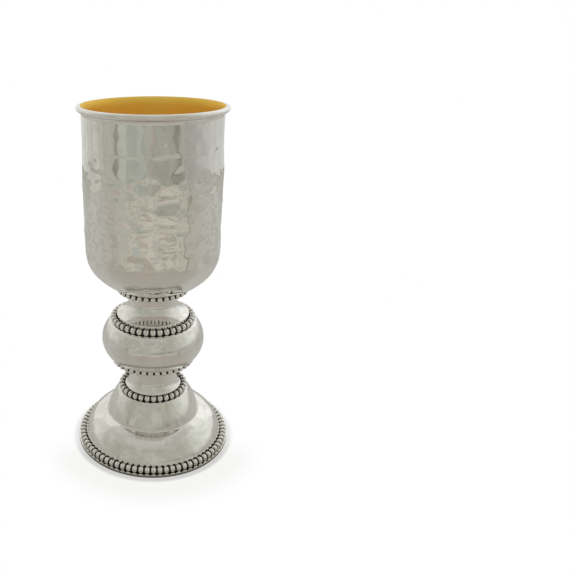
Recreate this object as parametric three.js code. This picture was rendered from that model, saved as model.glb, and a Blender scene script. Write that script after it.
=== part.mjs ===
// A stemmed kiddush cup in silver: a straight-sided hammered bowl with a rolled lip, a round
// knop between two waisted stems, and a two-stepped domed foot. Rings of beaded wire trim the
// joins. Millimetres, +Z up, standing on the plane z = 0 with its axis on Z and its front
// towards -Y.
import * as THREE from "three";
import { mergeVertices } from "three/addons/utils/BufferGeometryUtils.js";

// Heights of the planes where one piece is soldered to the next.
const FLANGE_TOP = 1.25;
const FOOT_TOP = 26.5;
const KNOP_BOTTOM = 45;
const KNOP_TOP = 62.75;
const COLLAR_BOTTOM = 80.25;
const BOWL_BOTTOM = 82;
const HEIGHT = 160;

// Bowl.
const BOWL_RADIUS = 30.25;
const THROAT_RADIUS = 29.8; // just under the lip, where the wall draws in a little
const WALL = 0.95;
const BOWL_CURVE_TOP = 98; // the side is straight above this height
const BOWL_CURVE_DEPTH = 21.6; // of the ellipse that rounds the bowl's underside
const BOWL_CURVE_END = 42; // degrees down that ellipse, where it starts to flatten
const BOWL_FLAT = 15.5;
const LIP_RADIUS = 31.8; // outside
const LIP_WIRE = 1.1; // radius of the rolled edge
const MOUTH_RADIUS = 30.1;

// Foot.
const FLANGE_RADIUS = 37.05;
const FLANGE_INNER = 32.6;
const SKIRT_RADIUS = 33.5; // where the big dome comes down to the flange
const STEP_RADIUS = 22.4; // where the small dome stands on the big one
const STEP_HEIGHT = 14.6;
const SHOULDER_RADIUS = 16.8; // top edge of the small dome

// Knop and stems.
const KNOP_RADIUS = 24;
const KNOP_MIDDLE = 53.7;
const KNOP_CURVE = 16.6; // half height of the ellipse that the knop's side follows
const KNOP_SIDE = 29; // degrees of that ellipse, above and below the middle
const KNOP_SEAT = 19.6; // radius of the flat ends
const NECK_RADIUS = 10.95;
const PLATE_RADIUS = 16.9; // rim of the upper stem's spreading base
const COLLAR_RADIUS = 16.2; // rim of the collar that carries the bowl

// Beaded wire: half-round beads on a flat strip.
const BEAD = 1.45; // radius
const STRIP_HALF_WIDTH = 1.1;
const GAP_WIDTH = 0.45; // of a bead's width, left between two beads
const GAP_HEIGHT = 0.5; // of a bead's height, left between two beads

const SIDES = { bowl: 32, foot: 32, knop: 32, stem: 24 };

const SILVER = { color: 0xc9c8c3, metalness: 1, roughness: 0.16 };
const HAMMERED_SILVER = { color: 0xc4c2bc, metalness: 1, roughness: 0.2 };
const BEADED_SILVER = { color: 0xb5b1a8, metalness: 1, roughness: 0.3 };

const at = (radius, height) => new THREE.Vector2(radius, height);

// Points along an ellipse about (middle, centre), from one angle in degrees to another.
function arc(centre, width, height, from, to, steps, middle = 0) {
  return Array.from({ length: steps + 1 }, (_, i) => {
    const angle = THREE.MathUtils.degToRad(from + ((to - from) * i) / steps);
    return at(middle + width * Math.cos(angle), centre + height * Math.sin(angle));
  });
}

// Points along a curve that leaves its start, and reaches its end, aimed at the corner.
function bend(start, corner, end, steps) {
  return new THREE.QuadraticBezierCurve(start, corner, end).getPoints(steps);
}

// The solid that an outline of radii and heights makes when turned about Z. The outline runs
// up the outside.
function turned(outline, sides) {
  const lathe = new THREE.LatheGeometry(outline, sides);
  lathe.rotateX(Math.PI / 2);
  return welded(lathe);
}

// The same surface with shared vertices merged and the slivers on the axis left out.
function welded(geometry) {
  geometry.deleteAttribute("normal");
  geometry.deleteAttribute("uv");
  const merged = mergeVertices(geometry, 1e-4);
  const corners = merged.index.array;
  const kept = [];
  for (let i = 0; i < corners.length; i += 3) {
    const [a, b, c] = corners.slice(i, i + 3);
    if (a !== b && b !== c && c !== a) kept.push(a, b, c);
  }
  merged.setIndex(kept);
  merged.computeVertexNormals();
  return merged;
}

function piece(name, geometry, finish) {
  const mesh = new THREE.Mesh(geometry, new THREE.MeshStandardMaterial(finish));
  mesh.name = name;
  return mesh;
}

// From the axis along the bowl's flat floor and up its rounded side, outside or inside.
function bowlFloor(radius, depth, floor, flat, steps) {
  const side = arc(BOWL_CURVE_TOP, radius, depth, -BOWL_CURVE_END, 0, steps);
  const tilt = THREE.MathUtils.degToRad(BOWL_CURVE_END);
  const slope = (depth * Math.cos(tilt)) / (radius * Math.sin(tilt));
  const corner = at(side[0].x - (side[0].y - floor) / slope, floor);
  return [at(0, floor), ...bend(at(flat, floor), corner, side[0], 2), ...side.slice(1)];
}

function bowl() {
  const inner = BOWL_RADIUS - WALL;
  const lipMiddle = HEIGHT - LIP_WIRE;
  const outside = [
    ...bowlFloor(BOWL_RADIUS, BOWL_CURVE_DEPTH, BOWL_BOTTOM, BOWL_FLAT, 5),
    at(BOWL_RADIUS, 130),
    at(THROAT_RADIUS, 143),
    at(THROAT_RADIUS, 155.4),
    at(THROAT_RADIUS - 0.2, 156.8),
    ...arc(lipMiddle, LIP_WIRE, LIP_WIRE, -75, 90, 4, LIP_RADIUS - LIP_WIRE),
    at(MOUTH_RADIUS, HEIGHT - 0.3),
  ];
  const inside = [
    ...bowlFloor(inner, BOWL_CURVE_DEPTH - WALL, BOWL_BOTTOM + WALL, BOWL_FLAT, 4),
    at(inner, 130),
    at(THROAT_RADIUS - WALL, 143),
    at(THROAT_RADIUS - WALL, 155.8),
    at(THROAT_RADIUS - 0.5, 158),
  ];
  return turned([...outside, ...inside.reverse()], SIDES.bowl);
}

// The stem above the knop, with the collar that carries the bowl.
function upperStem() {
  const waist = 73.5;
  const rimTop = 66.5;
  return turned(
    [
      at(0, KNOP_TOP),
      at(PLATE_RADIUS, KNOP_TOP),
      at(PLATE_RADIUS, rimTop - 0.6),
      ...bend(at(PLATE_RADIUS - 0.3, rimTop), at(NECK_RADIUS, 69.2), at(NECK_RADIUS, waist), 6),
      ...bend(at(NECK_RADIUS, waist), at(NECK_RADIUS, 77.5), at(13.2, COLLAR_BOTTOM), 3).slice(1),
      at(COLLAR_RADIUS, COLLAR_BOTTOM),
      at(COLLAR_RADIUS, COLLAR_BOTTOM + 0.9),
      at(COLLAR_RADIUS - 1, BOWL_BOTTOM),
      at(0, BOWL_BOTTOM),
    ],
    SIDES.stem,
  );
}

function knop() {
  return turned(
    [
      at(0, KNOP_BOTTOM),
      at(KNOP_SEAT, KNOP_BOTTOM),
      ...arc(KNOP_MIDDLE, KNOP_RADIUS, KNOP_CURVE, -KNOP_SIDE, KNOP_SIDE, 6),
      at(KNOP_SEAT, KNOP_TOP),
      at(0, KNOP_TOP),
    ],
    SIDES.knop,
  );
}

function lowerStem() {
  const waist = 36.75;
  const base = 13.6;
  const baseTop = 28.9;
  const head = 14.8;
  return turned(
    [
      at(0, FOOT_TOP),
      at(base, FOOT_TOP),
      at(base, baseTop - 0.4),
      ...bend(at(base - 0.2, baseTop), at(NECK_RADIUS, 31.1), at(NECK_RADIUS, waist), 5),
      ...bend(at(NECK_RADIUS, waist), at(NECK_RADIUS, 42), at(head - 0.2, 44.4), 3).slice(1),
      at(head, KNOP_BOTTOM),
      at(0, KNOP_BOTTOM),
    ],
    SIDES.stem,
  );
}

// The foot is a shell, open below.
function foot() {
  const outside = [
    at(0, FOOT_TOP),
    at(SHOULDER_RADIUS - 0.5, FOOT_TOP),
    ...bend(
      at(SHOULDER_RADIUS, FOOT_TOP - 0.4),
      at(20.5, 21.6),
      at(STEP_RADIUS - 0.1, STEP_HEIGHT + 0.6),
      3,
    ),
    ...bend(
      at(STEP_RADIUS + 0.6, STEP_HEIGHT - 0.2),
      at(30.8, 12.5),
      at(SKIRT_RADIUS, 4.3),
      6,
    ),
    at(SKIRT_RADIUS, FLANGE_TOP),
    at(FLANGE_RADIUS - 0.3, FLANGE_TOP),
    at(FLANGE_RADIUS, FLANGE_TOP - 0.35),
    at(FLANGE_RADIUS, 0.25),
    at(FLANGE_RADIUS - 0.25, 0),
  ];
  const inside = [
    at(FLANGE_INNER, 0),
    ...bend(at(SKIRT_RADIUS - 1.1, 4), at(30, 11.4), at(STEP_RADIUS, STEP_HEIGHT - 1.2), 3),
    ...bend(
      at(STEP_RADIUS - 1.1, STEP_HEIGHT + 0.2),
      at(19.6, 20.9),
      at(SHOULDER_RADIUS - 1, FOOT_TOP - 1),
      2,
    ),
    at(0, FOOT_TOP - 1),
  ];
  return turned([...outside, ...inside].reverse(), SIDES.foot);
}

// A ring of beads on a flat strip, soldered to the plane z = seat and standing up from it, or
// hanging down from it where down is true. Every second edge of the turned ring is drawn in to
// make the gap between two beads. The ring is turned by a part of a bead.
function beadedRing({ radius, count, seat, down = false, turn = 0 }) {
  const rise = down ? -BEAD : BEAD;
  const section = [
    at(radius - STRIP_HALF_WIDTH, seat),
    at(radius + STRIP_HALF_WIDTH, seat),
    at(radius + BEAD, seat + rise),
    at(radius, seat + 2 * rise),
    at(radius - BEAD, seat + rise),
  ];
  if (down) section.reverse();
  section.push(section[0].clone());
  const lathe = new THREE.LatheGeometry(section, 2 * count, (turn * 2 * Math.PI) / count);
  const place = lathe.attributes.position;
  for (let i = 0; i < place.count; i += 1) {
    const inGap = Math.floor(i / section.length) % 2 === 1;
    const height = place.getY(i) - seat;
    if (!inGap || Math.abs(height) < 1e-6) continue;
    const out = Math.hypot(place.getX(i), place.getZ(i));
    const drawnIn = (radius + (out - radius) * GAP_WIDTH) / out;
    place.setX(i, place.getX(i) * drawnIn);
    place.setZ(i, place.getZ(i) * drawnIn);
    place.setY(i, seat + height * GAP_HEIGHT);
  }
  lathe.rotateX(Math.PI / 2);
  return welded(lathe);
}

const RINGS = {
  bowl_beaded_ring: { radius: 15.3, count: 33, seat: COLLAR_BOTTOM, down: true },
  knop_upper_beaded_ring: { radius: 18.4, count: 38, seat: KNOP_TOP },
  knop_lower_beaded_ring: {
    radius: 18.4,
    count: 39,
    seat: KNOP_BOTTOM,
    down: true,
    turn: -0.35,
  },
  foot_upper_beaded_ring: { radius: 15.15, count: 32, seat: FOOT_TOP, turn: 0.1 },
  foot_rim_beaded_ring: { radius: 35.05, count: 76, seat: FLANGE_TOP, turn: 0.1 },
};

const cup = new THREE.Group();
cup.name = "kiddush_cup";
cup.add(
  piece("bowl", bowl(), HAMMERED_SILVER),
  piece("upper_stem", upperStem(), SILVER),
  piece("knop", knop(), SILVER),
  piece("lower_stem", lowerStem(), SILVER),
  piece("foot", foot(), SILVER),
);
for (const [name, ring] of Object.entries(RINGS)) {
  cup.add(piece(name, beadedRing(ring), BEADED_SILVER));
}

export default cup;
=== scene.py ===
"""A stemmed silver kiddush cup: hammered bowl gilt inside, round knop, stepped domed foot and
rings of beaded wire, on a pale studio floor."""

import math

import bpy
import numpy as np
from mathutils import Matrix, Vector, noise


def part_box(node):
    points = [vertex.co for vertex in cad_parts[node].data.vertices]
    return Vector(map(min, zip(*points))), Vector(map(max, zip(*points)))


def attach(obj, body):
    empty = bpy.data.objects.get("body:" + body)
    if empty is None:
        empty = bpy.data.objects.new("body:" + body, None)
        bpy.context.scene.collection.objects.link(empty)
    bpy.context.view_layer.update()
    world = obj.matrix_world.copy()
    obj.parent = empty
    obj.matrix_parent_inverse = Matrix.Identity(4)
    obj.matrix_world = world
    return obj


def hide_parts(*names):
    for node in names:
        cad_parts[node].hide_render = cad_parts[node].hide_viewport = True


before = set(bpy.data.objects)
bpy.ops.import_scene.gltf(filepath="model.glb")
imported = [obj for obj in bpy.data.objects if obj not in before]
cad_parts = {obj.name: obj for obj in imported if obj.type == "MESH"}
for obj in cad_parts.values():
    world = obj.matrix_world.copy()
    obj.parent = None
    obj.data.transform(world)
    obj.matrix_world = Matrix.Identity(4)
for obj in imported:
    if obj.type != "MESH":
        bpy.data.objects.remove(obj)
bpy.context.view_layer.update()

# ---------------------------------------------------------------- measures, in metres
MM = 0.001
ON_AXIS = 1e-7

FOOT_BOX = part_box("foot")
KNOP_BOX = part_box("knop")
BOWL_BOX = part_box("bowl")

FLANGE_RADIUS = FOOT_BOX[1].x
FOOT_TOP = FOOT_BOX[1].z
FLANGE_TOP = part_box("foot_rim_beaded_ring")[0].z
KNOP_RADIUS = KNOP_BOX[1].x
KNOP_BOTTOM = KNOP_BOX[0].z
KNOP_TOP = KNOP_BOX[1].z
COLLAR_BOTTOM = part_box("bowl_beaded_ring")[1].z
BOWL_BOTTOM = BOWL_BOX[0].z
HEIGHT = BOWL_BOX[1].z
LIP_RADIUS = BOWL_BOX[1].x

# The bowl: a flat floor, a rounded bottom that begins some degrees below level, a straight side,
# and a slightly narrower throat under the lip.
BOWL_RADIUS = 30.25 * MM
BOWL_FLAT = 15.5 * MM
BOWL_FLAT_STEPS = 6
BOWL_CURVE_TOP = 98 * MM
BOWL_CURVE_DEPTH = 21.6 * MM
BOWL_CURVE_START = 42
SIDE_TOP = 130 * MM
SIDE_CORNER = 137 * MM
THROAT_BOTTOM = 143 * MM
THROAT_TOP = 156 * MM
THROAT_RADIUS = 29.8 * MM
MOUTH_RADIUS = 30.1 * MM
LIP_WIRE = 1.1 * MM
WALL = 0.95 * MM
BOWL_SIDES = 360

# The foot, from its edge to its top: the skirt stands on the flange under the wide dome, and the
# step is the groove between the wide dome and the small one.
FLANGE_EDGE = 0.15 * MM
SKIRT_RADIUS = 33.5 * MM
SKIRT_TOP = 4.3 * MM
STEP_RADIUS = 22.4 * MM
STEP_HEIGHT = 14.6 * MM
SHOULDER_RADIUS = 16.8 * MM
FOOT_TOP_STEPS = 10

# The stem: the knop's curve is an ellipse, both stems are as thin as the neck at their waists,
# and the plate and the collar are the flat ends of the upper stem.
KNOP_MIDDLE = 53.7 * MM
KNOP_CURVE = 16.6 * MM
KNOP_SEAT = 19.4 * MM
NECK_RADIUS = 10.95 * MM
PLATE_RADIUS = 16.9 * MM
COLLAR_RADIUS = 16.2 * MM

BEAD = 1.45 * MM
BEAD_NECK = 0.86 * MM
# Along the wire, from a bead's middle, as parts of the distance between two beads: where the
# groove starts to go black, where its floor starts, and where the bead's round side would end.
GROOVE_BLACK = 0.32
GROOVE_FLOOR = 0.43
BEAD_END = 0.46

# Each ring of beaded wire: its centre line's radius, how many beads, where it is soldered, and
# which way it stands from there. The turn is a part of one bead.
RINGS = {
    "bowl_beaded_ring": dict(radius=15.3 * MM, count=33, seat=COLLAR_BOTTOM, rise=-1, turn=0.0),
    "knop_upper_beaded_ring": dict(radius=18.4 * MM, count=38, seat=KNOP_TOP, rise=1, turn=0.0),
    "knop_lower_beaded_ring": dict(
        radius=18.4 * MM, count=39, seat=KNOP_BOTTOM, rise=-1, turn=-0.35
    ),
    "foot_upper_beaded_ring": dict(radius=15.15 * MM, count=32, seat=FOOT_TOP, rise=1, turn=0.1),
    "foot_rim_beaded_ring": dict(radius=35.05 * MM, count=76, seat=FLANGE_TOP, rise=1, turn=0.1),
}


# ---------------------------------------------------------------- node helpers
def new_material(name):
    """An empty material with a Principled shader on its output."""
    material = bpy.data.materials.new(name)
    material.use_nodes = True
    tree = material.node_tree
    tree.nodes.clear()
    out = tree.nodes.new("ShaderNodeOutputMaterial")
    shader = tree.nodes.new("ShaderNodeBsdfPrincipled")
    tree.links.new(shader.outputs[0], out.inputs[0])
    return material, tree, shader


def feed(tree, socket, value):
    """A link where the value is another node's output, or a plain value."""
    if isinstance(value, bpy.types.NodeSocket):
        tree.links.new(value, socket)
    elif value is not None:
        socket.default_value = value


def math_node(tree, operation, *values):
    """One step of arithmetic on plain values or other nodes' outputs."""
    node = tree.nodes.new("ShaderNodeMath")
    node.operation = operation
    for socket, value in zip(node.inputs, values):
        feed(tree, socket, value)
    return node.outputs[0]


def ramp(tree, value, low, high, to_low=0.0, to_high=1.0, smooth=True):
    """A value carried from one range to another, held at both ends."""
    node = tree.nodes.new("ShaderNodeMapRange")
    node.interpolation_type = "SMOOTHSTEP" if smooth else "LINEAR"
    for socket, number in zip(node.inputs, (value, low, high, to_low, to_high)):
        feed(tree, socket, number)
    return node.outputs[0]


def mix(tree, share, first, second, blend="MIX"):
    """The first colour, with a share of the second mixed or blended into it."""
    node = tree.nodes.new("ShaderNodeMix")
    node.data_type = "RGBA"
    node.blend_type = blend
    feed(tree, node.inputs["Factor"], share)
    for name, value in (("A", first), ("B", second)):
        socket = [s for s in node.inputs if s.name == name and s.type == "RGBA"][0]
        feed(tree, socket, value if isinstance(value, bpy.types.NodeSocket) else (*value, 1))
    return [s for s in node.outputs if s.type == "RGBA"][0]


# ---------------------------------------------------------------- materials
def effect(name, inputs, outputs):
    """An empty shader node group, with its inner ends to build between."""
    tree = bpy.data.node_groups.new(name, "ShaderNodeTree")
    for title, kind, value in inputs:
        socket = tree.interface.new_socket(title, in_out="INPUT", socket_type=kind)
        socket.default_value = value
    for title, kind in outputs:
        tree.interface.new_socket(title, in_out="OUTPUT", socket_type=kind)
    return tree, tree.nodes.new("NodeGroupInput").outputs, tree.nodes.new("NodeGroupOutput").inputs


def placed(tree, group, **values):
    """The effect's group in a material, with its own values."""
    node = tree.nodes.new("ShaderNodeGroup")
    node.node_tree = group
    for title, value in values.items():
        feed(tree, node.inputs[title.replace("_", " ")], value)
    return node.outputs


def noise_at(tree, vector, scale, detail=2.0, distortion=0.0):
    """Soft noise from 0 to 1."""
    node = tree.nodes.new("ShaderNodeTexNoise")
    node.inputs["Detail"].default_value = detail
    node.inputs["Distortion"].default_value = distortion
    feed(tree, node.inputs["Vector"], vector)
    feed(tree, node.inputs["Scale"], scale)
    return node.outputs["Fac"]


def stretched(tree, vector, scale, turn=(0, 0, 0)):
    """A place turned by some degrees and scaled along each axis, for grain that runs one way."""
    node = tree.nodes.new("ShaderNodeMapping")
    node.inputs["Scale"].default_value = scale
    node.inputs["Rotation"].default_value = [math.radians(angle) for angle in turn]
    feed(tree, node.inputs["Vector"], vector)
    return node.outputs[0]


def bumped(tree, shader, height, depth):
    """Relief too fine for the mesh."""
    bump = tree.nodes.new("ShaderNodeBump")
    bump.inputs["Strength"].default_value = 1.0
    bump.inputs["Distance"].default_value = depth
    feed(tree, bump.inputs["Height"], height)
    feed(tree, shader.inputs["Normal"], bump.outputs[0])


# The black of tarnish, and of painted shade.
PATINA_AND_SHADE_BLACK = (0.012, 0.011, 0.009)


def patina_and_shade():
    """Silver blackened where its points are marked: tarnish where a polishing cloth can't reach,
    and painted shade under the bowl's lip and at the foot's bottom edge.
    """
    tree, given, made = effect(
        "patina_and_shade",
        [
            ("Silver", "NodeSocketColor", (0.93, 0.92, 0.89, 1)),
            ("Polish", "NodeSocketFloat", 0.1),
        ],
        [
            ("Colour", "NodeSocketColor"),
            ("Roughness", "NodeSocketFloat"),
            ("Metallic", "NodeSocketFloat"),
        ],
    )
    darkened = tree.nodes.new("ShaderNodeAttribute")
    darkened.attribute_name = "patina_and_shade_depth"
    place = tree.nodes.new("ShaderNodeTexCoord").outputs["Object"]
    speck = math_node(tree, "MULTIPLY_ADD", noise_at(tree, place, 1600.0), 0.3, -0.15)
    black = ramp(tree, math_node(tree, "ADD", darkened.outputs["Fac"], speck), 0.2, 0.8)
    feed(tree, made["Colour"], mix(tree, black, given["Silver"], PATINA_AND_SHADE_BLACK))
    feed(tree, made["Roughness"], ramp(tree, black, 0, 1, given["Polish"], 0.5, smooth=False))
    feed(tree, made["Metallic"], ramp(tree, black, 0, 1, 1.0, 0.2, smooth=False))
    return tree


def handling():
    """What years of use and a soft cloth leave: dull clouds and hair-fine scratches."""
    tree, given, made = effect(
        "handling",
        [("Clouds per metre", "NodeSocketFloat", 120.0)],
        [("Cloud", "NodeSocketFloat"), ("Scratches", "NodeSocketFloat")],
    )
    place = tree.nodes.new("ShaderNodeTexCoord").outputs["Object"]
    cloud = noise_at(tree, place, given["Clouds per metre"], 5.0, 0.8)
    feed(tree, made["Cloud"], ramp(tree, cloud, 0.42, 0.68))
    scratches = None
    for turn in ((20, 35, 0), (-30, 10, 60), (15, -40, -70)):
        streak = noise_at(tree, stretched(tree, place, (1300, 70, 70), turn), 1.0)
        streak = ramp(tree, streak, 0.6, 0.75)
        scratches = streak if scratches is None else math_node(tree, "ADD", scratches, streak)
    feed(tree, made["Scratches"], scratches)
    return tree


PATINA_AND_SHADE = patina_and_shade()
HANDLING = handling()
CLOUDED = (0.80, 0.79, 0.76)
CLOUD_ROUGHNESS = 0.12


def silver(name, colour, polish, clouds, dulling, scratch_depth):
    """A silver finish: how smooth it is, its clouds per metre, and how much the clouds dull it."""
    material, tree, shader = new_material(name)
    made = placed(tree, PATINA_AND_SHADE, Silver=(*colour, 1), Polish=polish)
    use = placed(tree, HANDLING, Clouds_per_metre=clouds)
    dull = math_node(tree, "MULTIPLY", use["Cloud"], dulling)
    feed(tree, shader.inputs["Base Color"], mix(tree, dull, made["Colour"], CLOUDED, "MULTIPLY"))
    rough = math_node(tree, "MULTIPLY_ADD", dull, CLOUD_ROUGHNESS, made["Roughness"])
    feed(tree, shader.inputs["Roughness"], rough)
    feed(tree, shader.inputs["Metallic"], made["Metallic"])
    bumped(tree, shader, use["Scratches"], scratch_depth)
    return material


def gilding():
    """Brushed gold: a fine grain that runs round the inside of the bowl."""
    material, tree, shader = new_material("gilding")
    place = tree.nodes.new("ShaderNodeTexCoord").outputs["Object"]
    grain = noise_at(tree, stretched(tree, place, (90, 90, 2600)), 1.0, 3.0)
    use = placed(tree, HANDLING, Clouds_per_metre=60.0)
    shade = mix(tree, ramp(tree, grain, 0.3, 0.7), (1.0, 0.66, 0.10), (1.0, 0.70, 0.14))
    shade = mix(tree, math_node(tree, "MULTIPLY", use["Cloud"], 0.5), shade, (1.0, 0.72, 0.17))
    feed(tree, shader.inputs["Base Color"], shade)
    feed(tree, shader.inputs["Roughness"], ramp(tree, grain, 0.3, 0.7, 0.5, 0.62))
    shader.inputs["Metallic"].default_value = 0.75
    bumped(tree, shader, grain, 0.02 * MM)
    return material


FINISHES = {
    "hammered_silver": silver(
        "planished_silver", (0.93, 0.92, 0.89), 0.035, 90.0, 0.2, 0.002 * MM
    ),
    "polished_silver": silver("bright_silver", (0.93, 0.92, 0.895), 0.07, 220.0, 0.4, 0.004 * MM),
    "beaded_silver": silver("wire_silver", (0.93, 0.91, 0.88), 0.16, 700.0, 0.3, 0.002 * MM),
    "gilding": gilding(),
}


# ---------------------------------------------------------------- outlines of turned pieces
def arc(centre, width, height, start, end, steps, middle=0.0):
    """Points on an ellipse, between two angles in degrees."""
    angles = np.radians(np.linspace(start, end, steps + 1))
    return [(middle + width * math.cos(a), centre + height * math.sin(a)) for a in angles]


def bend(start, corner, end, steps):
    """Points on a curve that leaves its start, and reaches its end, aimed at the corner."""
    t = np.linspace(0, 1, steps + 1)[:, None]
    a, b, c = np.array(start), np.array(corner), np.array(end)
    return [tuple(p) for p in (1 - t) ** 2 * a + 2 * t * (1 - t) * b + t * t * c]


def line(start, end, steps):
    """Evenly spaced points on a straight stretch."""
    t = np.linspace(0, 1, steps + 1)[:, None]
    return [tuple(p) for p in (1 - t) * np.array(start) + t * np.array(end)]


def join(*stretches):
    """One outline from stretches that meet end to end."""
    points = []
    for stretch in stretches:
        for point in stretch:
            if not points or math.dist(points[-1], point) > 1e-6:
                points.append(point)
    return points


# ---------------------------------------------------------------- meshes
def fade(values, none, full):
    """How much of an effect there is at each value, from 0 at one of them to 1 at another."""
    return np.clip((values - none) / (full - none), 0, 1)


def turned(name, outline, sides, relief=None):
    """The closed surface that an outline makes when turned about Z. The outline starts and ends
    on the axis and runs up the outside. Relief moves each point along the surface's normal."""
    rim = np.array([p for p in outline if p[0] > ON_AXIS])
    rows = len(rim)
    turn = np.arange(sides) * 2 * math.pi / sides
    around = np.stack([np.sin(turn), -np.cos(turn)], axis=-1)
    points = np.empty((rows, sides, 3))
    points[:, :, :2] = rim[:, None, 0, None] * around[None]
    points[:, :, 2] = rim[:, 1, None]
    if relief is not None:
        points += relief(points, outward(rim, around))
    verts = points.reshape(-1, 3).tolist()
    faces = []
    for row in range(rows - 1):
        a = row * sides + np.arange(sides)
        b = row * sides + np.roll(np.arange(sides), -1)
        faces.extend(np.stack([a, b, b + sides, a + sides], axis=-1).tolist())
    low, high = len(verts), len(verts) + 1
    verts += [(0, 0, outline[0][1]), (0, 0, outline[-1][1])]
    last = (rows - 1) * sides
    for side in range(sides):
        after = (side + 1) % sides
        faces.append([low, after, side])
        faces.append([high, last + side, last + after])
    return new_object(name, verts, faces)


def outward(rim, around):
    """Unit normals of a turned surface, for each row and side."""
    along = np.gradient(rim, axis=0)
    along /= np.linalg.norm(along, axis=1, keepdims=True) + 1e-12
    normal = np.empty((len(rim), len(around), 3))
    normal[:, :, :2] = along[:, 1, None, None] * around[None]
    normal[:, :, 2] = -along[:, 0, None]
    return normal


def new_object(name, verts, faces):
    """A smooth-shaded mesh, placed in the scene."""
    mesh = bpy.data.meshes.new(name)
    mesh.from_pydata(verts, [], faces)
    mesh.validate()
    mesh.shade_smooth()
    obj = bpy.data.objects.new(name, mesh)
    bpy.context.scene.collection.objects.link(obj)
    return obj


def beside(name, reach):
    """The corner beside a string of beads, as a wire with the size of the beads."""
    ring = RINGS[name]
    return dict(
        radius=ring["radius"], middle=ring["seat"] + ring["rise"] * BEAD, size=BEAD, reach=reach
    )


def shade_crevices(obj, wires):
    """Marks how dark each point is, from 0 to 1, by how near it is to rings of wire: tarnish beside
    the beaded wires, painted shade under the bowl's lip and at the foot's bottom edge.
    """
    count = len(obj.data.vertices)
    points = np.empty(count * 3)
    obj.data.vertices.foreach_get("co", points)
    points = points.reshape(-1, 3)
    depth = np.zeros(count)
    for wire in wires:
        out = np.hypot(points[:, 0], points[:, 1]) - wire["radius"]
        up = points[:, 2] - wire["middle"]
        gap = np.hypot(out, up) - wire["size"]
        near = fade(gap, wire["reach"], 0.5 * wire["reach"])
        depth = np.maximum(depth, near * wire.get("most", 1.0))
    store(obj, "patina_and_shade_depth", depth)


def store(obj, name, values):
    """One number for each point of a mesh, for its material to read."""
    layer = obj.data.attributes.new(name, "FLOAT", "POINT")
    layer.data.foreach_set("value", np.asarray(values, dtype=np.float32))


def uneven(size, depth, seed):
    """Relief of a surface finished by hand: broad, very shallow waves."""
    shift = Vector((seed * 7.1, seed * 3.7, seed * 5.3))

    def relief(points, normals):
        flat = points.reshape(-1, 3) / size
        waves = [noise.noise(Vector(p) + shift) for p in flat.tolist()]
        return normals * (depth * np.array(waves)).reshape(points.shape[:2] + (1,))

    return relief


def blows(rng, radius, height, spacing):
    """Where the hammer falls on a turned surface: row above row, each blow a little astray."""
    row_step = 0.87 * spacing
    astray_in_row = 0.36
    astray_across = 0.5
    along = np.insert(np.cumsum(np.hypot(np.diff(radius), np.diff(height))), 0, 0)
    centres = []
    for row, place in enumerate(np.arange(0, along[-1], row_step)):
        number = max(5, round(2 * math.pi * np.interp(place, along, radius) / spacing))
        angles = (np.arange(number) + 0.5 * (row % 2)) * 2 * math.pi / number
        angles += rng.uniform(-astray_in_row, astray_in_row, number) * 2 * math.pi / number
        places = place + rng.uniform(-astray_across, astray_across, number) * spacing
        out = np.interp(places, along, radius)
        up = np.interp(places, along, height)
        centres.append(np.stack([out * np.sin(angles), -out * np.cos(angles), up], -1))
    return np.concatenate(centres)


def hammered(points, first, last, spacing, lean, curve, seed):
    """Relief of planished silver, between two rows of points: each blow of the hammer leaves a
    shallow dish with a lean of its own, and the dishes meet in soft ridges."""
    deepest = 0.03 * MM
    ridge = 0.0025 * MM
    at_once = 4000
    rng = np.random.default_rng(seed)
    rows = points[first:last, 0]
    centres = blows(rng, np.linalg.norm(rows[:, :2], axis=1), rows[:, 2], spacing)
    leans = rng.normal(0, lean, centres.shape)
    depth = rng.uniform(0, deepest, len(centres))
    curves = rng.uniform(*curve, len(centres))
    flat = points.reshape(-1, 3)
    relief = np.empty(len(flat))
    for start in range(0, len(flat), at_once):
        part = flat[start : start + at_once]
        square = ((part**2).sum(1)[:, None] + (centres**2).sum(1)[None]) - 2 * part @ centres.T
        dish = square / (2 * curves) + part @ leans.T - (centres * leans).sum(1) + depth
        least = dish.min(axis=1, keepdims=True)
        blend = np.exp((least - dish) / ridge).sum(1)
        relief[start : start + at_once] = least[:, 0] - ridge * np.log(blend)
    return relief.reshape(points.shape[:2] + (1,))


# ---------------------------------------------------------------- the pieces
def bowl_bottom(radius, depth, floor, steps):
    """From the axis along the bowl's flat floor and up its rounded bottom."""
    side = arc(BOWL_CURVE_TOP, radius, depth, -BOWL_CURVE_START, 0, steps)
    tilt = math.radians(BOWL_CURVE_START)
    slope = (depth * math.cos(tilt)) / (radius * math.sin(tilt))
    corner = (side[0][0] - (side[0][1] - floor) / slope, floor)
    edge = (BOWL_FLAT, floor)
    return join(line((0, floor), edge, BOWL_FLAT_STEPS), bend(edge, corner, side[0], 12), side)


def bowl_outside():
    """Up the outside of the bowl and over its rolled lip."""
    side_top = (BOWL_RADIUS, SIDE_TOP)
    throat_bottom = (THROAT_RADIUS, THROAT_BOTTOM)
    throat_top = (THROAT_RADIUS, THROAT_TOP)
    lip_centre = LIP_RADIUS - LIP_WIRE
    lip_middle = HEIGHT - LIP_WIRE
    lip_bottom = (lip_centre, lip_middle - LIP_WIRE)
    return join(
        bowl_bottom(BOWL_RADIUS, BOWL_CURVE_DEPTH, BOWL_BOTTOM, 40),
        line((BOWL_RADIUS, BOWL_CURVE_TOP), side_top, 56),
        bend(side_top, (BOWL_RADIUS, SIDE_CORNER), throat_bottom, 22),
        line(throat_bottom, throat_top, 22),
        bend(throat_top, (THROAT_RADIUS, THROAT_TOP + 1.2 * MM), lip_bottom, 6),
        arc(lip_middle, LIP_WIRE, LIP_WIRE, -90, 90, 16, lip_centre),
    )


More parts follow.
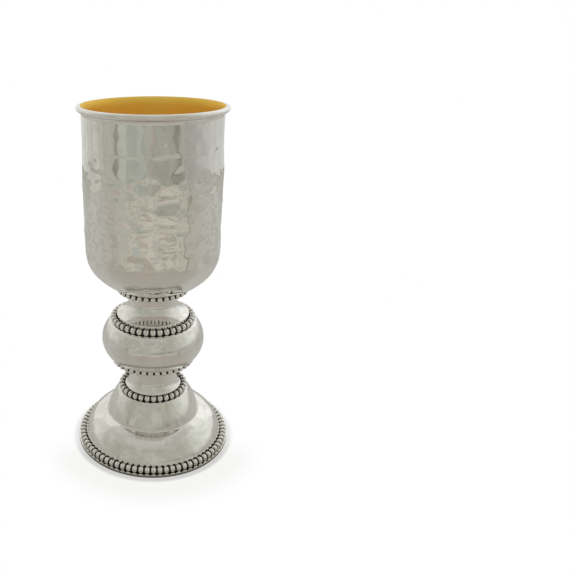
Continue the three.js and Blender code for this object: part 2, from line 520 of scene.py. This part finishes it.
def bowl_inside():
    """Up the inside of the bowl, a wall in from the outside, to the middle of the lip."""
    radius = BOWL_RADIUS - WALL
    throat = THROAT_RADIUS - WALL
    side_top = (radius, SIDE_TOP)
    throat_bottom = (throat, THROAT_BOTTOM)
    throat_top = (throat, THROAT_TOP)
    return join(
        bowl_bottom(radius, BOWL_CURVE_DEPTH - WALL, BOWL_BOTTOM + WALL, 20),
        line((radius, BOWL_CURVE_TOP), side_top, 12),
        bend(side_top, (radius, SIDE_CORNER), throat_bottom, 6),
        line(throat_bottom, throat_top, 8),
        bend(throat_top, (throat, THROAT_TOP + 3.2 * MM), (MOUTH_RADIUS, HEIGHT), 8),
    )


def hammered_side(crest):
    """Relief of the bowl's outside, up to its crest: hammer marks on a side that isn't quite
    true, shallower near the throat and gone under the lip."""

    def relief(points, normals):
        z = points[:, 0, 2]
        first = BOWL_FLAT_STEPS
        last = int(np.argmax(z > THROAT_TOP + 1 * MM))
        broad = hammered(points, first, last, 4.2 * MM, 0.03, (28 * MM, 60 * MM), 11)
        fine = hammered(points, first, last, 2.8 * MM, 0.04, (25 * MM, 70 * MM), 12)
        waves = uneven(14 * MM, 0.1 * MM, 3)(points, normals)
        waves += uneven(4.5 * MM, 0.06 * MM, 6)(points, normals)
        share = fade(z, THROAT_TOP + 0.2 * MM, THROAT_TOP - 2.3 * MM)
        share *= np.maximum(0.4, fade(z, THROAT_TOP - 4 * MM, SIDE_TOP + 4 * MM))
        share *= fade(z, BOWL_BOTTOM, BOWL_BOTTOM + 2 * MM)
        share *= np.arange(len(points)) < crest
        return ((broad + 0.7 * fine) * normals + waves) * share[:, None, None]

    return relief


def hammered_bowl():
    """The bowl, planished outside and gilt inside."""
    outside = bowl_outside()
    crest = len([p for p in outside if p[0] > ON_AXIS]) - 1
    outline = join(outside, bowl_inside()[::-1])
    bowl = turned("hammered_bowl", outline, BOWL_SIDES, hammered_side(crest))
    # Painted shade: a dark line just under the lip wire.
    painted_shade_under_lip = dict(
        radius=30.2 * MM, middle=HEIGHT - 2.1 * MM, size=0.0, reach=0.7 * MM, most=0.55
    )
    shade_crevices(bowl, [painted_shade_under_lip, beside("bowl_beaded_ring", 0.15 * MM)])
    stand_for(bowl, "bowl", "hammered_silver")
    bowl.data.materials.append(FINISHES["gilding"])
    for face in bowl.data.polygons:
        if min(face.vertices) // BOWL_SIDES > crest:
            face.material_index = 1


def stem_over_knop():
    """The waisted stem over the knop, from its thin plate to the collar under the bowl."""
    plate_top = 66.1 * MM
    plate_edge = (16.4 * MM, 66.62 * MM)
    waist = (NECK_RADIUS, 73.5 * MM)
    flare_end = (13.2 * MM, COLLAR_BOTTOM)
    collar_top = (COLLAR_RADIUS, COLLAR_BOTTOM + 0.9 * MM)
    collar_end = (COLLAR_RADIUS - 1 * MM, BOWL_BOTTOM)
    outline = join(
        line((0, KNOP_TOP), (PLATE_RADIUS, KNOP_TOP), 8),
        line((PLATE_RADIUS, KNOP_TOP), (PLATE_RADIUS, plate_top), 6),
        bend((PLATE_RADIUS, plate_top), (PLATE_RADIUS, plate_top + 0.4 * MM), plate_edge, 6),
        bend(plate_edge, (NECK_RADIUS, 69.2 * MM), waist, 44),
        bend(waist, (NECK_RADIUS, 77.5 * MM), flare_end, 18),
        line(flare_end, (COLLAR_RADIUS, COLLAR_BOTTOM), 6),
        line((COLLAR_RADIUS, COLLAR_BOTTOM), collar_top, 4),
        line(collar_top, collar_end, 4),
        line(collar_end, (0, BOWL_BOTTOM), 6),
    )
    stem = turned("stem_over_knop", outline, 192, uneven(6 * MM, 0.03 * MM, 5))
    corners = [beside("knop_upper_beaded_ring", 0.6 * MM), beside("bowl_beaded_ring", 0.1 * MM)]
    shade_crevices(stem, corners)
    stand_for(stem, "upper_stem", "polished_silver")


def round_knop():
    """The large round knop, flat above and below where the beaded wires sit on it."""
    lowest, highest = -29.5, 31.5
    outline = join(
        line((0, KNOP_BOTTOM), (KNOP_SEAT, KNOP_BOTTOM), 8),
        arc(KNOP_MIDDLE, KNOP_RADIUS, KNOP_CURVE, lowest, highest, 56),
        line((KNOP_SEAT, KNOP_TOP), (0, KNOP_TOP), 8),
    )
    knop = turned("round_knop", outline, 224, uneven(8 * MM, 0.04 * MM, 2))
    corners = [
        beside("knop_upper_beaded_ring", 0.12 * MM),
        beside("knop_lower_beaded_ring", 0.25 * MM),
    ]
    shade_crevices(knop, corners)
    stand_for(knop, "knop", "polished_silver")


def stem_under_knop():
    """The waisted stem under the knop, with a narrow band at each end."""
    low_band, high_band = 13.6 * MM, 14.8 * MM
    band_top = 28.6 * MM
    flare_start = (13.35 * MM, 29.1 * MM)
    waist = (NECK_RADIUS, 36.75 * MM)
    flare_end = (high_band, KNOP_BOTTOM - 0.5 * MM)
    outline = join(
        line((0, FOOT_TOP), (low_band, FOOT_TOP), 8),
        line((low_band, FOOT_TOP), (low_band, band_top), 5),
        bend((low_band, band_top), (low_band, band_top + 0.3 * MM), flare_start, 4),
        bend(flare_start, (NECK_RADIUS, 31.1 * MM), waist, 36),
        bend(waist, (NECK_RADIUS, 42 * MM), flare_end, 24),
        line(flare_end, (high_band, KNOP_BOTTOM), 3),
        line((high_band, KNOP_BOTTOM), (0, KNOP_BOTTOM), 8),
    )
    stem = turned("stem_under_knop", outline, 192, uneven(6 * MM, 0.03 * MM, 8))
    corners = [
        beside("knop_lower_beaded_ring", 0.2 * MM),
        beside("foot_upper_beaded_ring", 0.5 * MM),
    ]
    shade_crevices(stem, corners)
    stand_for(stem, "lower_stem", "polished_silver")


def foot_outside():
    """From the middle of the foot's top down over both domes and out to the flange's edge."""
    shoulder = (SHOULDER_RADIUS - 0.6 * MM, FOOT_TOP)
    small_dome = (SHOULDER_RADIUS + 0.1 * MM, FOOT_TOP - 0.45 * MM)
    step = (STEP_RADIUS - 0.05 * MM, STEP_HEIGHT + 0.5 * MM)
    wide_dome = (STEP_RADIUS + 0.5 * MM, STEP_HEIGHT - 0.15 * MM)
    skirt = (SKIRT_RADIUS, SKIRT_TOP)
    flange_inset = FLANGE_RADIUS - FLANGE_EDGE
    flange_side = FLANGE_TOP - FLANGE_EDGE
    return join(
        line((0, FOOT_TOP), shoulder, FOOT_TOP_STEPS),
        bend(shoulder, (SHOULDER_RADIUS - 0.1 * MM, FOOT_TOP), small_dome, 4),
        bend(small_dome, (20.5 * MM, 21.6 * MM), step, 30),
        bend(step, (STEP_RADIUS, STEP_HEIGHT), wide_dome, 5),
        bend(wide_dome, (30.8 * MM, 12.5 * MM), skirt, 44),
        line(skirt, (SKIRT_RADIUS, FLANGE_TOP), 8),
        line((SKIRT_RADIUS, FLANGE_TOP), (flange_inset, FLANGE_TOP), 12),
        arc(flange_side, FLANGE_EDGE, FLANGE_EDGE, 90, 0, 4, flange_inset),
    )


def foot_inside():
    """From the flange's edge back under the foot, a wall in from the outside, to the axis."""
    rim = 0.2 * MM
    wall = 1 * MM
    hem = (32.4 * MM, 4 * MM)
    step = (STEP_RADIUS, STEP_HEIGHT - 1.2 * MM)
    small_dome = (STEP_RADIUS - 1.1 * MM, STEP_HEIGHT + 0.2 * MM)
    top = (SHOULDER_RADIUS - wall, FOOT_TOP - wall)
    return join(
        line((FLANGE_RADIUS, FLANGE_TOP - FLANGE_EDGE), (FLANGE_RADIUS, rim), 3),
        arc(rim, rim, rim, 0, -90, 4, FLANGE_RADIUS - rim),
        line((FLANGE_RADIUS - rim, 0), (32.7 * MM, 0), 6),
        line((32.6 * MM, 0.1 * MM), hem, 4),
        bend(hem, (30 * MM, 11.4 * MM), step, 16),
        bend(step, (STEP_RADIUS - wall, STEP_HEIGHT - wall), small_dome, 4),
        bend(small_dome, (19.6 * MM, 20.9 * MM), top, 12),
        line(top, (0, FOOT_TOP - wall), 6),
    )


def worked_domes(points, normals):
    """Relief of the foot's outside: broad, very shallow hammer marks on both domes, and none on
    the skirt, the flange or the flat top."""
    z = points[:, 0, 2]
    outside = -points[:, 0, 1] > SKIRT_RADIUS - 0.6 * MM
    first = int(np.argmax((z > SKIRT_TOP) & outside))
    last = len(points) - FOOT_TOP_STEPS
    dishes = hammered(points, first, last, 6.5 * MM, 0.028, (60 * MM, 160 * MM), 9)
    waves = uneven(3 * MM, 0.012 * MM, 4)(points, normals)
    share = fade(z, 3 * MM, 5 * MM) * fade(z, FOOT_TOP, FOOT_TOP - 1 * MM)
    share *= np.arange(len(points)) >= first
    return (dishes * normals + waves) * share[:, None, None]


def domed_foot():
    """The foot: a small dome on a wide dome with a flat flange, hollow below."""
    outline = join(foot_outside(), foot_inside())[::-1]
    foot = turned("domed_foot", outline, 288, worked_domes)
    # The corner inside the rim's beads is blackened; the edge entry is painted shade, a dark band
    # along the flange's bottom edge.
    inner = dict(radius=33.8 * MM, middle=1.9 * MM, size=0.0, reach=1.6 * MM)
    edge = dict(radius=37.3 * MM, middle=0.5 * MM, size=0.45 * MM, reach=0.5 * MM, most=0.6)
    shade_crevices(foot, [beside("foot_upper_beaded_ring", 0.12 * MM), inner, edge])
    stand_for(foot, "foot", "polished_silver")


def beaded_wire(name, radius, count, seat, rise, turn):
    """A wire rolled into round beads, with grooves gone black between them, bent into a ring."""
    sides = 20
    section = np.arange(sides) * 2 * math.pi / sides
    bulge = -BEAD_END * np.cos(np.radians(np.linspace(37, 143, 13)))
    along_bead = [-0.5, -GROOVE_FLOOR, *bulge, GROOVE_FLOOR]
    middle = seat + rise * BEAD
    nearness = 0.5 - 0.5 * rise * np.sin(section)
    soldered = fade(nearness, 0.88, 0.98)
    verts, darkened = [], []
    for bead in range(count):
        for along in along_bead:
            reach = min(abs(along) / BEAD_END, 1)
            size = max(BEAD * math.sqrt(1 - reach**2), BEAD_NECK)
            angle = (bead + turn + along) * 2 * math.pi / count
            out = radius + size * np.cos(section)
            up = middle + size * np.sin(section)
            verts += np.stack([out * math.sin(angle), -out * math.cos(angle), up], -1).tolist()
            groove = fade(abs(along), GROOVE_BLACK, GROOVE_BLACK + 0.05)
            darkened += np.maximum(groove, soldered).tolist()
    total = count * len(along_bead)
    around = np.arange(sides)
    faces = []
    for i in range(total):
        a = i * sides + around
        d = (i + 1) % total * sides + around
        faces += np.stack([a, d, np.roll(d, -1), np.roll(a, -1)], -1).tolist()
    wire = new_object(name.replace("ring", "wire"), verts, faces)
    store(wire, "patina_and_shade_depth", darkened)
    stand_for(wire, name, "beaded_silver")


def stand_for(obj, node, slot):
    """The piece rides with the cup, stands for the solid and takes the slot's finish."""
    obj.data.materials.append(FINISHES[slot])
    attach(obj, "root")
    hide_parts(node)


# ---------------------------------------------------------------- studio
# What stands round the cup, by direction: degrees from the front, towards the right, and the
# light that comes from there.
LOW_ROOM = [
    (-180, (0.72, 0.72, 0.71)),
    (-158, (0.70, 0.70, 0.67)),
    (-130, (0.58, 0.58, 0.54)),
    (-105, (0.53, 0.53, 0.48)),
    (-82, (0.43, 0.42, 0.37)),
    (-63, (0.42, 0.41, 0.36)),
    (-60, (0.28, 0.27, 0.22)),
    (-57, (0.28, 0.27, 0.22)),
    (-54, (0.44, 0.45, 0.40)),
    (-34, (0.41, 0.42, 0.37)),
    (-15, (0.39, 0.40, 0.355)),
    (-3, (0.39, 0.39, 0.34)),
    (0, (0.43, 0.38, 0.35)),
    (3, (0.37, 0.37, 0.315)),
    (32, (0.35, 0.345, 0.30)),
    (36, (0.26, 0.255, 0.21)),
    (39, (0.26, 0.255, 0.21)),
    (43, (0.36, 0.355, 0.315)),
    (62, (0.41, 0.41, 0.38)),
    (95, (0.50, 0.50, 0.47)),
    (130, (0.57, 0.575, 0.55)),
    (179.9, (0.72, 0.72, 0.71)),
]
HIGH_ROOM = [
    (-180, (0.86, 0.86, 0.84)),
    (-145, (0.78, 0.78, 0.72)),
    (-125, (0.69, 0.69, 0.65)),
    (-106, (0.60, 0.60, 0.56)),
    (-88, (0.52, 0.52, 0.47)),
    (-70, (0.42, 0.42, 0.37)),
    (-45, (0.45, 0.44, 0.385)),
    (0, (0.45, 0.45, 0.395)),
    (45, (0.43, 0.42, 0.36)),
    (60, (0.48, 0.47, 0.42)),
    (75, (0.60, 0.61, 0.55)),
    (106, (0.70, 0.71, 0.66)),
    (125, (0.82, 0.83, 0.79)),
    (145, (0.90, 0.91, 0.87)),
    (179.9, (0.86, 0.86, 0.84)),
]
CEILING = (0.50, 0.50, 0.46)
TABLE_RADIUS = 0.66
OLIVE = (0.34, 0.33, 0.275)
CREAM = (0.55, 0.515, 0.44)
COOL_GREY = (0.42, 0.43, 0.39)


def compass(tree, split):
    """Turns a direction or a place into 0 to 1 round the cup, a half being the front."""
    back = math_node(tree, "MULTIPLY", split.outputs["Y"], -1.0)
    angle = math_node(tree, "ARCTAN2", split.outputs["X"], back)
    return ramp(tree, angle, -math.pi, math.pi, smooth=False)


def room_light(tree, turn, room):
    """The light from all round the room, by direction."""
    node = tree.nodes.new("ShaderNodeValToRGB")
    stops = node.color_ramp.elements
    while len(stops) < len(room):
        stops.new(0.5)
    for stop, (degrees, _) in zip(stops, room):
        stop.position = (degrees + 180) / 360
    for stop, (_, colour) in zip(stops, room):
        stop.color = (*colour, 1)
    tree.links.new(turn, node.inputs[0])
    return node.outputs[0]


def soft_shapes(tree, direction):
    """Large pale and dark shapes round the studio, as lighter and darker greys."""
    shapes = noise_at(tree, direction, 3.6, 2.0, 0.8)
    dark = ramp(tree, shapes, 0.45, 0.475, 0.92, 1.0)
    return math_node(tree, "ADD", dark, ramp(tree, shapes, 0.56, 0.585, 0.0, 0.07))


def studio_world():
    """The soft grey room that the silver mirrors. Behind the cup the camera sees plain white."""
    world = bpy.data.worlds.new("studio")
    world.use_nodes = True
    bpy.context.scene.world = world
    tree = world.node_tree
    tree.nodes.clear()
    out = tree.nodes.new("ShaderNodeOutputWorld")
    background = tree.nodes.new("ShaderNodeBackground")
    place = tree.nodes.new("ShaderNodeTexCoord")
    split = tree.nodes.new("ShaderNodeSeparateXYZ")
    tree.links.new(place.outputs["Generated"], split.inputs[0])
    turn = compass(tree, split)
    above = ramp(tree, split.outputs["Z"], -0.01, 0.13)
    walls = mix(tree, above, room_light(tree, turn, LOW_ROOM), room_light(tree, turn, HIGH_ROOM))
    overhead = ramp(tree, split.outputs["Z"], 0.6, 0.93)
    lit = mix(tree, overhead, walls, CEILING)
    lit = mix(tree, 1.0, lit, soft_shapes(tree, place.outputs["Generated"]), "MULTIPLY")
    path = tree.nodes.new("ShaderNodeLightPath")
    seen = mix(tree, path.outputs["Is Camera Ray"], lit, (1, 1, 1))
    tree.links.new(seen, background.inputs["Color"])
    tree.links.new(background.outputs[0], out.inputs[0])


def floor():
    """A round floor, just under the foot."""
    sides = 128
    turn = np.arange(sides) * 2 * math.pi / sides
    rings = [0.2, 0.4, TABLE_RADIUS]
    level = -0.05 * MM
    verts = [(0, 0, level)]
    for radius in rings:
        verts += [(radius * math.sin(a), -radius * math.cos(a), level) for a in turn]
    faces = [[1 + i, 1 + (i + 1) % sides, 0] for i in range(sides)]
    for ring in range(len(rings) - 1):
        for i in range(sides):
            a = 1 + ring * sides + i
            b = 1 + ring * sides + (i + 1) % sides
            faces.append([a + sides, b + sides, b, a])
    stage = new_object("floor", verts, faces)
    stage.data.materials.append(floor_material())


def stripe(tree, split, reach, start, end):
    """A straight dark line on the floor, between two bearings from the cup."""
    turn = compass(tree, split)
    begins = ramp(tree, turn, (start + 179) / 360, (start + 180) / 360)
    ends = ramp(tree, turn, (end + 180) / 360, (end + 181) / 360, 1.0, 0.0)
    between = math_node(tree, "MULTIPLY", begins, ends)
    return math_node(tree, "MULTIPLY", between, ramp(tree, reach, 0.17, 0.2))


def floor_painted_light(tree, split, reach, ahead):
    """Painted light and shade that the floor glows with, for the silver to mirror: brown-grey near
    the cup and paler to its sides, cream and olive patches farther out in front, and a darker edge."""
    place = tree.nodes.new("ShaderNodeTexCoord").outputs["Object"]
    patches = noise_at(tree, place, 9.0, 3.0, 1.0)
    middle = math_node(tree, "MULTIPLY", ramp(tree, ahead, 0.3, 0.9), ramp(tree, reach, 0.19, 0.28))
    lit = mix(tree, ramp(tree, ahead, -0.5, 0.8), (0.48, 0.475, 0.44), (0.405, 0.372, 0.325))
    lit = mix(tree, math_node(tree, "MULTIPLY", middle, 0.6), lit, (0.52, 0.48, 0.405))
    sides = mix(tree, ramp(tree, patches, 0.5, 0.505), (0.93, 0.93, 0.92), (1.05, 1.06, 1.07))
    lit = mix(tree, ramp(tree, reach, 0.16, 0.22), lit, mix(tree, 1.0, lit, sides, "MULTIPLY"))
    for edge, colour in ((0.425, OLIVE), (0.455, CREAM), (0.57, COOL_GREY)):
        patch = math_node(tree, "MULTIPLY", ramp(tree, patches, edge, edge + 0.005), middle)
        lit = mix(tree, patch, lit, colour)
    lit = mix(tree, stripe(tree, split, reach, 52, 56), lit, (0.32, 0.31, 0.265))
    lit = mix(tree, ramp(tree, reach, 0.45, 0.6), lit, (0.42, 0.42, 0.37))
    lit = mix(tree, ramp(tree, reach, 0.64, 0.648), lit, (0.31, 0.31, 0.26))
    # Painted shadow: a dark brown-grey ring round the foot, for the silver to mirror.
    return mix(tree, ramp(tree, reach, 0.036, 0.05), (0.2, 0.19, 0.17), lit)


def contact_shade(tree, reach, ahead):
    """White, with painted shadow: a grey line where the foot stands and a soft painted shade in
    front of it.
    """
    line_in_front = ramp(tree, reach, 0.0385, 0.0405)
    front = mix(tree, line_in_front, (0.64, 0.635, 0.62), (0.92, 0.92, 0.91))
    front = mix(tree, ramp(tree, reach, 0.044, 0.06), front, (1, 1, 1))
    behind = mix(tree, ramp(tree, reach, 0.0375, 0.041), (0.8, 0.8, 0.79), (1, 1, 1))
    return mix(tree, ramp(tree, ahead, 0.1, 0.6), behind, front)


def floor_material():
    """A floor that the camera sees as pale with a painted contact shadow, and that glows for all
    other rays with painted light and shade, which the silver mirrors.
    """
    material, tree, shader = new_material("floor")
    place = tree.nodes.new("ShaderNodeTexCoord")
    split = tree.nodes.new("ShaderNodeSeparateXYZ")
    tree.links.new(place.outputs["Object"], split.inputs[0])
    across = math_node(tree, "POWER", split.outputs["X"], 2.0)
    along = math_node(tree, "POWER", split.outputs["Y"], 2.0)
    reach = math_node(tree, "SQRT", math_node(tree, "ADD", across, along))
    ahead = math_node(tree, "DIVIDE", math_node(tree, "MULTIPLY", split.outputs["Y"], -1.0), reach)
    # A glow of painted light and shade, seen only in reflections.
    painted_glow = tree.nodes.new("ShaderNodeEmission")
    tree.links.new(floor_painted_light(tree, split, reach, ahead), painted_glow.inputs["Color"])
    seen = tree.nodes.new("ShaderNodeEmission")
    tree.links.new(contact_shade(tree, reach, ahead), seen.inputs["Color"])
    path = tree.nodes.new("ShaderNodeLightPath")
    both = tree.nodes.new("ShaderNodeMixShader")
    tree.links.new(path.outputs["Is Camera Ray"], both.inputs[0])
    tree.links.new(painted_glow.outputs[0], both.inputs[1])
    tree.links.new(seen.outputs[0], both.inputs[2])
    out = [n for n in tree.nodes if n.type == "OUTPUT_MATERIAL"][0]
    tree.links.new(both.outputs[0], out.inputs[0])
    tree.nodes.remove(shader)
    return material


def lamp():
    """A soft light over the mouth of the bowl, which only the satin gilding takes up."""
    data = bpy.data.lights.new("softbox", "AREA")
    data.size = 0.25
    data.energy = 1.0
    obj = bpy.data.objects.new("softbox", data)
    bpy.context.scene.collection.objects.link(obj)
    obj.location = (0, -0.35, 0.5)
    obj.rotation_euler = (math.radians(45), 0, 0)
    obj.visible_glossy = False


def camera():
    """In front of the cup and above it, with the cup to the left of the middle."""
    tilt = 22.67
    data = bpy.data.cameras.new("camera")
    data.sensor_width = 36
    data.lens = 40.39
    data.shift_x = 0.2316
    obj = bpy.data.objects.new("camera", data)
    bpy.context.scene.collection.objects.link(obj)
    obj.location = (0, -0.2713, 0.1929)
    obj.rotation_euler = (math.radians(90 - tilt), 0, 0)
    bpy.context.scene.camera = obj


camera()
bpy.context.scene.view_settings.view_transform = "Standard"
studio_world()
lamp()
floor()
hammered_bowl()
stem_over_knop()
round_knop()
stem_under_knop()
domed_foot()
for ring_name, ring in RINGS.items():
    beaded_wire(ring_name, **ring)
